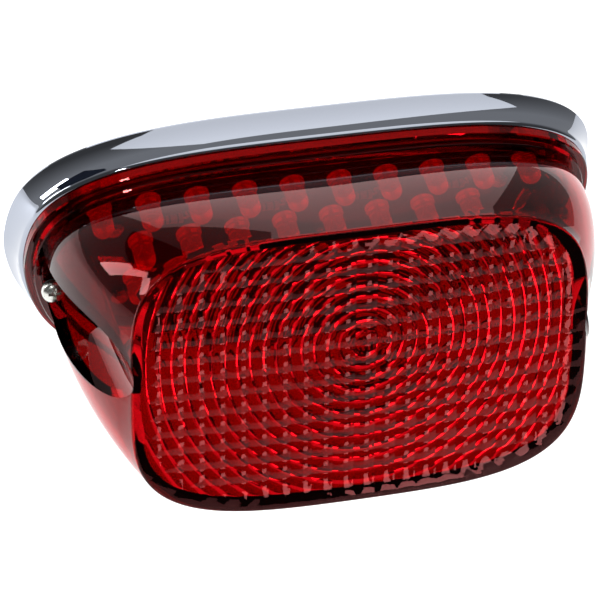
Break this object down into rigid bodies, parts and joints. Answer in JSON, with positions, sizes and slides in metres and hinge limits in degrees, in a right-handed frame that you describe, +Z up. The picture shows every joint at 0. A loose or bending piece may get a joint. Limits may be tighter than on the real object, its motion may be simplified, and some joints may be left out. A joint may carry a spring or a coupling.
{
  "type": "motorcycle tail light",
  "caption": "Laydown motorcycle tail light: shallow chromed base, deep tapering red lens with leaned-back oblong face, side screw troughs and an LED board inside.",
  "frame": {"origin": "on the back of the base gasket, on the centre line, level with the base's widest point", "axes": "+X across the light to its right as seen from in front of the lens, +Y into the fender it is mounted on, so the lens faces -Y, +Z up the mounting face"},
  "size_m": [0.1438, 0.0742, 0.088],
  "materials": {
    "rubber": "matt black, moulded",
    "chrome": "mirror chrome plate on a moulded base",
    "red_acrylic": "transparent deep red, moulded, polished outside",
    "zinc_steel": "bright zinc plate",
    "brass": "machined, knurled",
    "board_laminate": "glass-fibre laminate with solder resist",
    "led_epoxy": "clear red cast epoxy",
    "resistor_tan": "lacquered",
    "diode_black": "moulded epoxy",
    "white_nylon": "moulded nylon"
  },
  "bodies": {
    "base": {"base_gasket": "rubber", "base_housing": "chrome", "wire_grommet": "rubber", "lens_gasket": "rubber", "threaded_insert_left": "brass", "threaded_insert_right": "brass", "circuit_board": "board_laminate", "board_screw_1": "zinc_steel", "board_screw_2": "zinc_steel", "board_screw_3": "zinc_steel", "board_screw_4": "zinc_steel", "wire_connector": "white_nylon", "resistor_1": "resistor_tan", "resistor_2": "resistor_tan", "resistor_3": "resistor_tan", "resistor_4": "resistor_tan", "diode": "diode_black", "led_r1_c01": "led_epoxy", "led_r1_c02": "led_epoxy", "led_r1_c03": "led_epoxy", "led_r1_c04": "led_epoxy", "led_r1_c05": "led_epoxy", "led_r1_c06": "led_epoxy", "led_r1_c07": "led_epoxy", "led_r1_c08": "led_epoxy", "led_r1_c09": "led_epoxy", "led_r1_c10": "led_epoxy", "led_r2_c01": "led_epoxy", "led_r2_c02": "led_epoxy", "led_r2_c03": "led_epoxy", "led_r2_c04": "led_epoxy", "led_r2_c05": "led_epoxy", "led_r2_c06": "led_epoxy", "led_r2_c07": "led_epoxy", "led_r2_c08": "led_epoxy", "led_r3_c01": "led_epoxy", "led_r3_c02": "led_epoxy", "led_r3_c03": "led_epoxy", "led_r3_c04": "led_epoxy", "led_r3_c05": "led_epoxy", "led_r3_c06": "led_epoxy", "led_r3_c07": "led_epoxy", "led_r3_c08": "led_epoxy", "led_r4_c01": "led_epoxy", "led_r4_c02": "led_epoxy", "led_r4_c03": "led_epoxy", "led_r4_c04": "led_epoxy", "led_r4_c05": "led_epoxy", "led_r4_c06": "led_epoxy"},
    "lens": {"lens": "red_acrylic", "screw_seal_left": "rubber", "screw_seal_right": "rubber"},
    "screw_left": {"lens_screw_left": "zinc_steel"},
    "screw_right": {"lens_screw_right": "zinc_steel"}
  },
  "joints": [
    {"name": "lens_lift", "type": "slide", "parent": "base", "child": "lens", "axis": [0, -0.9455, 0.3256], "range_m": [0, 0.05]},
    {"name": "screw_left_turn", "type": "hinge", "parent": "lens", "child": "screw_left", "pos_m": [-0.0632, -0.0168, -0.004], "axis": [0, -0.9455, 0.3256], "continuous": true},
    {"name": "screw_right_turn", "type": "hinge", "parent": "lens", "child": "screw_right", "pos_m": [0.0632, -0.0168, -0.004], "axis": [0, -0.9455, 0.3256], "continuous": true}
  ]
}
